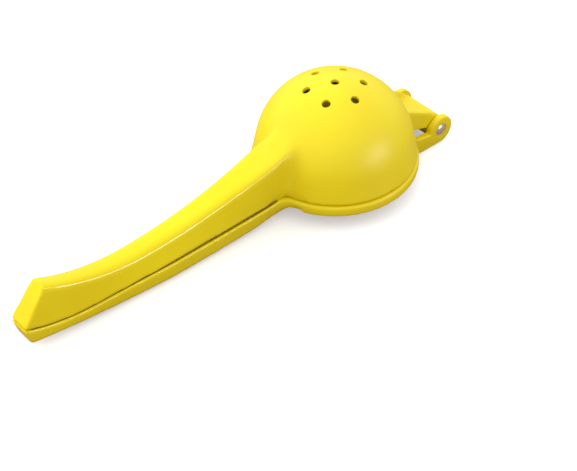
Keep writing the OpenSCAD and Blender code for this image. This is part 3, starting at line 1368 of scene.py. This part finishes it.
@dataclass
class PlungerArm:
    """The lower casting: domed plunger, flange, handle and hinge ears.

    The corner under the neck is eased in the names that start with under: beyond
    under_from, between under_sides on both sides, below under_top and, in turn, within
    each of under_reach from the flange's rim.
    """

    form: Form = field(default_factory=Form)
    plunger_r: float = 25.5
    plunger_wall: float = 3.0
    plunger_sunk: float = 2.0
    hollow_draft: float = 6.0
    hollow_lip: float = 0.8
    lip_spread: float = 0.6
    flange_round: float = 1.2
    belly_round: float = 2.6
    parting_round: float = 0.6
    rim_land: float = 0.7
    mouth_slope: float = 1.3
    neck_fillet: float = 5.5
    neck_round: float = 1.1
    ear_bevel: float = 0.7
    groove_w: float = 0.4
    groove_d: float = 0.7
    foot_l: float = 12.0
    voxel: float = 0.5
    skin_passes: int = 8
    under_from: float = -24.0
    under_sides: tuple[float, float] = (3.5, 15.0)
    under_top: float = -2.2
    under_reach: tuple[float, ...] = (13.0, 10.0, 7.0)
    under_passes: int = 30

    def flange(self) -> bpy.types.Object:
        """Models the round flange, its edges rounded.

        Returns:
            The flange, closed in the middle.
        """
        form = self.form
        top = -form.gap / 2
        bottom = form.flange_bottom()
        r = self.flange_round
        section = [(0.0, top)]
        section += arc((form.flange_r - r, top - r), r, 90.0, 0.0, 6)
        section += arc((form.flange_r - r, bottom + r), r, 0.0, -90.0, 6)
        section += [(0.0, bottom)]
        return turned("flange", section, steps=160)

    def plunger(self) -> bpy.types.Object:
        """Models the plunger's dome, standing in the flange.

        Returns:
            The dome, still solid.
        """
        foot = -self.form.gap / 2 - self.plunger_sunk
        section = arc((0.0, 0.0), self.plunger_r, 90.0, 0.0, 40)
        section[0] = (0.0, self.plunger_r)
        section += [(self.plunger_r, foot), (0.0, foot)]
        return turned("plunger", section)

    def neck(self) -> list[bpy.types.Object]:
        """Models the hollow corners between flange and handle.

        Returns:
            Both corners, each a plate as thick as the flange.
        """
        form = self.form
        side = form.handle_w / 2
        start = form.handle_start
        r = self.neck_fillet
        ball_x = math.sqrt((form.flange_r + r) ** 2 - (side + r) ** 2)
        ball = (-ball_x, side + r)
        touch_deg = math.degrees(math.atan2(-ball[1], -ball[0]))
        hollow = arc(ball, r, -90.0, touch_deg, 10)
        corner = [(-ball_x, 1.0), *hollow, (start, side), (start, 1.0)]

        def on_hollow(middle: Vector) -> bool:
            """Tells whether an edge follows the corner's hollow side."""
            from_ball = math.hypot(middle.x + ball_x, abs(middle.y) - side - r)
            return abs(from_ball - r) < 0.1 and middle.x < start - 1.0

        corners = []
        for flip in (1.0, -1.0):
            outline = [(x, y * flip) for x, y in corner]
            piece = plate("neck_corner", outline, form.flange_bottom(), form.flange_h)
            round_edges(piece, self.neck_round, segments=5, test=on_hollow)
            corners.append(piece)
        return corners

    def handle(self) -> bpy.types.Object:
        """Models the handle's solid body: its belly, its lower tip and its parting edges rounded.

        Returns:
            The body, which reaches under the bowl.
        """
        form = self.form
        end_x = form.slanted_end(form.belly, form.lower_slant)

        def on_belly(middle: Vector) -> bool:
            """Finds the edges along the belly and across its end at the tip.

            Args:
                middle: The edge's middle.

            Returns:
                Whether it is one of them.
            """
            if middle.x >= form.handle_start - 1.0:
                return False
            if abs(middle.z - form.belly(middle.x)) >= LINE_REACH:
                return False
            return abs(middle.y) > OFF_AXIS or middle.x < end_x + 1.0

        def on_face(middle: Vector) -> bool:
            """Tells whether an edge runs along the parting gap outside the bowl."""
            return middle.x < -form.rim_r and beside_line(middle, form.face(middle.x, -1.0), FACE_REACH)

        body = lofted("handle", form.lower_stations(form.handle_start))
        round_edges(body, self.belly_round, segments=7, test=on_belly)
        round_edges(body, self.parting_round, segments=4, test=on_face)
        return body

    def below_neck(self, reach: float) -> Test:
        """Returns the test for the corner under the neck.

        Args:
            reach: How far from the flange's rim the corner goes.

        Returns:
            The test of a vertex's place.
        """
        rim = self.form.flange_r
        near, far = self.under_sides

        def test(point: Vector) -> bool:
            """Finds the vertices of the corner.

            Args:
                point: The vertex's place.

            Returns:
                Whether it is one of them.
            """
            if point.x >= self.under_from or point.z >= self.under_top:
                return False
            from_rim = abs(math.hypot(point.x, point.y) - rim)
            return near < abs(point.y) < far and from_rim < reach

        return test

    def hollow(self) -> bpy.types.Object:
        """Models the hollow inside the plunger, its lower rim bevelled.

        Returns:
            The hollow as a solid to take away, open downwards.
        """
        radius = self.plunger_r - self.plunger_wall
        draft = math.radians(self.hollow_draft)
        bottom = self.form.flange_bottom()
        section = arc((0.0, 0.0), radius, 90.0, self.hollow_draft, 36)
        section[0] = (0.0, radius)
        rim = radius / math.cos(draft) - bottom * math.tan(draft)
        lip = self.hollow_lip
        wide = rim + lip * self.lip_spread
        section += [(rim - lip * math.tan(draft), bottom + lip), (wide, bottom - 0.05)]
        section += [(wide, bottom - 6.0), (0.0, bottom - 6.0)]
        return turned("hollow", section)

    def channel(self) -> bpy.types.Object:
        """Models the channel along the handle's upper side, its floor's edges rounded.

        Returns:
            The channel as a solid to take away.
        """
        form = self.form

        def on_floor(middle: Vector) -> bool:
            """Tells whether an edge runs along the channel's floor."""
            return middle.z < form.belly(middle.x, form.wall) + 0.2 and abs(middle.y) > 1.0

        stations = form.lower_stations(form.channel_start(), form.wall, form.channel_over)
        channel = lofted("channel", stations)
        round_edges(channel, form.channel_round, segments=4, test=on_floor)
        return channel

    def mouth(self) -> bpy.types.Object:
        """Models the bevel that thins the channel's walls to a rim along the parting gap.

        Returns:
            The bevel as a solid to take away.
        """
        form = self.form
        wall = form.wall
        over = 0.5
        rise = (wall - self.rim_land) * self.mouth_slope
        spill = over / self.mouth_slope
        stations = []
        for x in spread(form.channel_start(), -form.handle_l + wall, STATION_STEP):
            top = form.face(x, -1.0)
            half = form.half_width(x)
            high_half = half - self.rim_land + spill
            stations.append(Station((x, top - rise), half - wall, (x, top + over), high_half))
        return lofted("mouth", stations)

    def ears(self) -> list[bpy.types.Object]:
        """Models both ears with their straps, their outer edges bevelled.

        Returns:
            The two ears. Each is flat under the hinge, where the squeezer stands on it.
        """
        form = self.form
        pin = form.pin_centre()
        stand = form.stand()
        tilt = math.atan2(-stand[0][2], stand[0][0])
        bottom = form.flange_bottom()
        heel_deg = -90.0 - math.degrees(tilt)
        leave_deg = math.degrees(math.atan2(bottom - pin[1], form.flange_r - pin[0]))
        rim = arc(pin, form.ear_r, heel_deg, leave_deg, 40)
        heel = rim[0]
        toe = (heel[0] - self.foot_l * math.cos(tilt), heel[1] + self.foot_l * math.sin(tilt))
        root_x = self.plunger_r - self.plunger_wall / 2
        outline = rim + [
            (form.flange_r, bottom), (form.flange_r - 1.0, bottom + 1.0), (root_x, bottom + 1.0),
            (root_x, bottom), toe,
        ]
        ears = []
        face_y = form.hinge_w / 2

        def on_outer_face(middle: Vector) -> bool:
            """Tells whether an edge bounds an ear's outer face beyond the flange."""
            return abs(abs(middle.y) - face_y) < 0.05 and middle.x > form.flange_r + 0.5

        for y_low in (-face_y, face_y - form.ear_t):
            ear = slab("ear", outline, y_low, form.ear_t)
            round_edges(ear, self.ear_bevel, segments=3, test=on_outer_face)
            ears.append(ear)
        return ears

    def pin_holes(self) -> bpy.types.Object:
        """Models the drill for both pin holes, each with a groove round the pin outside.

        Returns:
            The drill, lying along the pin's axis.
        """
        form = self.form
        r = form.pin_d / 2
        end = form.hinge_w / 2
        wide = r + self.groove_w
        deep = end - self.groove_d
        section = [
            (0.0, -end - 1.0), (wide, -end - 1.0), (wide, -deep), (r, -deep),
            (r, deep), (wide, deep), (wide, end + 1.0), (0.0, end + 1.0),
        ]
        drill = turned("pin_drill", section, steps=64)
        place(drill, form.along_pin())
        return drill

    def build(self) -> bpy.types.Object:
        """Casts the arm, adds its ears and cuts it out.

        Returns:
            The finished arm on the floor.
        """
        form = self.form
        casting = [self.flange(), self.plunger(), self.handle(), *self.neck()]
        arm = join(casting, "plunger_arm_casting")
        weld_skin(arm, self.voxel)
        ease(arm, self.skin_passes)
        for reach in self.under_reach:
            ease(arm, self.under_passes, self.below_neck(reach))
        for ear in self.ears():
            combine(arm, ear, Cut.UNITE)
        cutters = join([self.hollow(), self.channel(), self.pin_holes()], "plunger_cutters")
        combine(arm, cutters, Cut.REMOVE)
        combine(arm, self.mouth(), Cut.REMOVE)
        shade(arm)
        place(arm, form.stand())
        return arm

    def dress(self, arm: bpy.types.Object, enamel: bpy.types.Material) -> None:
        """Enamels the arm and puts it in its node's place."""
        put(arm, enamel, "plunger_arm", "plunger_arm")


@dataclass
class HingePin:
    """The steel pin, pressed into the ears, its domed ends a touch proud of their faces.

    Each end is domed over crown_deg. Its edge turns through one point, which lies edge_in
    of round_r inside the pin's side and edge_down of round_r below the dome's edge.
    """

    form: Form = field(default_factory=Form)
    proud: float = 0.3
    dome: float = 0.7
    crown_deg: float = 72.0
    crown_step: float = 0.2
    round_r: float = 0.4
    edge_in: float = 0.3
    edge_down: float = 0.35

    def build(self) -> bpy.types.Object:
        """Turns the pin with slightly domed, rounded ends.

        Returns:
            The finished pin in its holes.
        """
        form = self.form
        r = form.pin_d / 2
        end = form.hinge_w / 2 + self.proud
        shoulder = end - self.dome
        flat = r - self.round_r
        crown = [
            (flat * math.sin(turn), shoulder + self.dome * math.cos(turn))
            for turn in spread(0.0, math.radians(self.crown_deg), self.crown_step)
        ]
        crown[0] = (0.0, end)
        edge_z = crown[-1][1]
        crown += [
            (r - self.round_r * self.edge_in, edge_z - self.round_r * self.edge_down),
            (r, edge_z - self.round_r),
        ]
        section = crown + [(x, -z) for x, z in reversed(crown)]
        pin = turned("hinge_pin_steel", section, steps=64)
        place(pin, form.along_pin())
        shade(pin)
        place(pin, form.stand())
        return pin

    def dress(self, pin: bpy.types.Object, steel: bpy.types.Material) -> None:
        """Gives the pin its steel and puts it in its node's place."""
        put(pin, steel, "plunger_arm", "hinge_pin")


# ---------------------------------------------------------------- studio


@dataclass(frozen=True)
class Lamp:
    """A soft rectangular lamp: its place and size in metres, and how bright its face looks."""

    name: str
    where: Point3
    wide: float
    high: float
    radiance: float

    def hang(self, target: Point3) -> bpy.types.Object:
        """Hangs the lamp.

        Args:
            target: The place that it is aimed at.

        Returns:
            The lamp.
        """
        data = bpy.data.lights.new(self.name, "AREA")
        data.shape = "RECTANGLE"
        data.size = self.wide
        data.size_y = self.high
        data.energy = self.radiance * math.pi * self.wide * self.high
        lamp = bpy.data.objects.new(self.name, data)
        lamp.location = self.where
        aim = Vector(target) - Vector(self.where)
        lamp.rotation_euler = aim.to_track_quat("-Z", "Y").to_euler()
        bpy.context.scene.collection.objects.link(lamp)
        return lamp


@dataclass
class Studio:
    """Pale floor, white surroundings, soft lamps and the camera.

    The camera looks past the bowl's axis by aside and above, from distance; these and
    look_lift are in design millimetres. The room's light falls off from bright_side.
    """

    form: Form = field(default_factory=Form)
    focal_px: float = 1640.0
    azimuth: float = -40.74
    elevation: float = 42.51
    roll: float = -1.06
    distance: float = 666.4
    aside: float = 18.74
    above: float = 36.41
    look_lift: float = 3.2
    bright_side: Point3 = (0.30, 0.88, 0.37)
    room_bright: float = 1.45
    room_dark: float = 0.86
    room_mirrored: float = 0.5
    floor_size: float = 6.0
    floor_drop: float = 0.0002
    aim_at: Point3 = (0.0, 0.0, 0.02)
    softbox: Lamp = Lamp("broad_softbox", (-1.10, 1.10, 0.70), 1.8, 1.1, 1.5)
    strip: Lamp = Lamp("edge_strip", (0.27, -0.62, 0.127), 0.36, 0.05, 25.0)

    def axes(self) -> tuple[Vector, Vector, Vector]:
        """Turns the camera's angles into directions.

        Returns:
            Its right, up and back directions in design axes.
        """
        a, e, r = (math.radians(v) for v in (self.azimuth, self.elevation, self.roll))
        back = Vector((math.sin(a) * math.cos(e), -math.cos(a) * math.cos(e), math.sin(e)))
        right = Vector((math.cos(a), math.sin(a), 0.0))
        up = back.cross(right)
        return (
            right * math.cos(r) + up * math.sin(r),
            -right * math.sin(r) + up * math.cos(r),
            back,
        )

    def camera(self) -> None:
        """Sets up the camera at the catalogue angle."""
        right, up, back = self.axes()
        where = self.distance * back - self.aside * right - self.above * up
        where += Vector((0.0, 0.0, self.look_lift))
        stand = self.form.stand()
        turn = stand.to_3x3().normalized()
        data = bpy.data.cameras.new("camera")
        data.sensor_width = SENSOR_MM
        data.lens = self.focal_px * SENSOR_MM / IMAGE_W
        data.clip_start, data.clip_end = 0.01, 20.0
        camera = bpy.data.objects.new("camera", data)
        basis = Matrix((turn @ right, turn @ up, turn @ back)).transposed().to_4x4()
        camera.matrix_world = Matrix.Translation(stand @ where) @ basis
        bpy.context.scene.collection.objects.link(camera)
        bpy.context.scene.camera = camera

    def floor(self) -> None:
        """Lays the painted board under the squeezer, just below its lowest point."""
        clear_selection()
        bpy.ops.mesh.primitive_plane_add(size=self.floor_size, location=(0.0, 0.0, -self.floor_drop))
        floor = name_piece("floor")
        floor.data.materials.append(PaintedBoard().make())
        floor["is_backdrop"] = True

    def world(self) -> None:
        """Surrounds the squeezer with a plain room.

        The camera sees it plain white. Its light is a little stronger from bright_side, and
        the gloss shows it dimmed, so that no pale veil lies on the enamel.
        """
        world = bpy.data.worlds.new("white_room")
        bpy.context.scene.world = world
        world.use_nodes = True
        tree = world.node_tree
        tree.nodes.clear()
        path = add_node(tree, "ShaderNodeLightPath")
        seen = add_node(
            tree, "ShaderNodeMath", {"operation": "MAXIMUM"},
            {0: path.outputs["Is Camera Ray"], 1: path.outputs["Is Transmission Ray"]},
        )
        towards = add_node(
            tree, "ShaderNodeVectorMath", {"operation": "DOT_PRODUCT", 1: self.bright_side},
            {0: add_node(tree, "ShaderNodeTexCoord").outputs["Generated"]},
        )
        level = add_node(
            tree, "ShaderNodeMapRange",
            {"From Min": -1.0, "From Max": 1.0, "To Min": self.room_dark, "To Max": self.room_bright},
            {"Value": towards.outputs["Value"]},
        )
        mirrored = add_node(
            tree, "ShaderNodeMapRange", {"To Min": 1.0, "To Max": self.room_mirrored},
            {"Value": path.outputs["Is Glossy Ray"]},
        )
        strength = add_node(
            tree, "ShaderNodeMath", {"operation": "MULTIPLY"},
            {0: level.outputs["Result"], 1: mirrored.outputs["Result"]},
        )
        room = add_node(
            tree, "ShaderNodeBackground", {"Color": WHITE}, {"Strength": strength.outputs[0]}
        )
        white = add_node(tree, "ShaderNodeBackground", {"Color": WHITE, "Strength": 1.0})
        mix = add_node(
            tree, "ShaderNodeMixShader", None,
            {0: seen.outputs[0], 1: room.outputs[0], 2: white.outputs[0]},
        )
        add_node(tree, "ShaderNodeOutputWorld", None, {"Surface": mix.outputs[0]})

    def light(self) -> None:
        """Hangs the softbox and the strip, which is seen in the gloss and draws out the near edges."""
        softbox = self.softbox.hang(self.aim_at)
        softbox.visible_glossy = False
        strip = self.strip.hang(self.aim_at)
        strip.visible_camera = False
        strip.visible_diffuse = False

    def build(self) -> None:
        """Sets up camera, floor, room and lamps."""
        self.camera()
        self.floor()
        self.world()
        self.light()


# ---------------------------------------------------------------- assembly


def put(
    piece: bpy.types.Object, material: bpy.types.Material, body: str, node: str
) -> None:
    """Dresses a piece and puts it on its body in its node's place.

    Args:
        piece: The piece.
        material: What it is made of.
        body: The body that carries it.
        node: The node that it takes the place of.
    """
    piece.data.materials.clear()
    piece.data.materials.append(material)
    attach(piece, body)
    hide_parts(node)


def write_sizes(cad: tuple[Vector, Vector]) -> None:
    """Sets the CAD model's box beside the visual model's box in a dict, which is not kept.

    Args:
        cad: The lowest and highest corner of the CAD model.
    """
    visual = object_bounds()
    {"cad": [list(corner) for corner in cad], "visual": [list(corner) for corner in visual]}


def main() -> None:
    """Builds and dresses the squeezer piece by piece, then sets the studio round it."""
    logging.basicConfig(level=logging.INFO, format="%(name)s: %(message)s")
    cad_box = tuple(corner.copy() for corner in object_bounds())
    bpy.context.scene.view_settings.view_transform = "Standard"
    form = Form()
    enamel = StovedEnamel().make()
    pin_at = form.stand() @ Vector((form.pin_x, 0.0, -form.pin_drop))
    steel = TurnedSteel().make(tuple(pin_at))
    pieces = ((BowlArm(form), enamel), (PlungerArm(form), enamel), (HingePin(form), steel))
    for part, finish in pieces:
        piece = part.build()
        part.dress(piece, finish)
        LOG.info("%s in %s, %d faces", piece.name, finish.name, len(piece.data.polygons))
    Studio(form).build()
    write_sizes(cad_box)


if __name__ == "__main__":
    main()
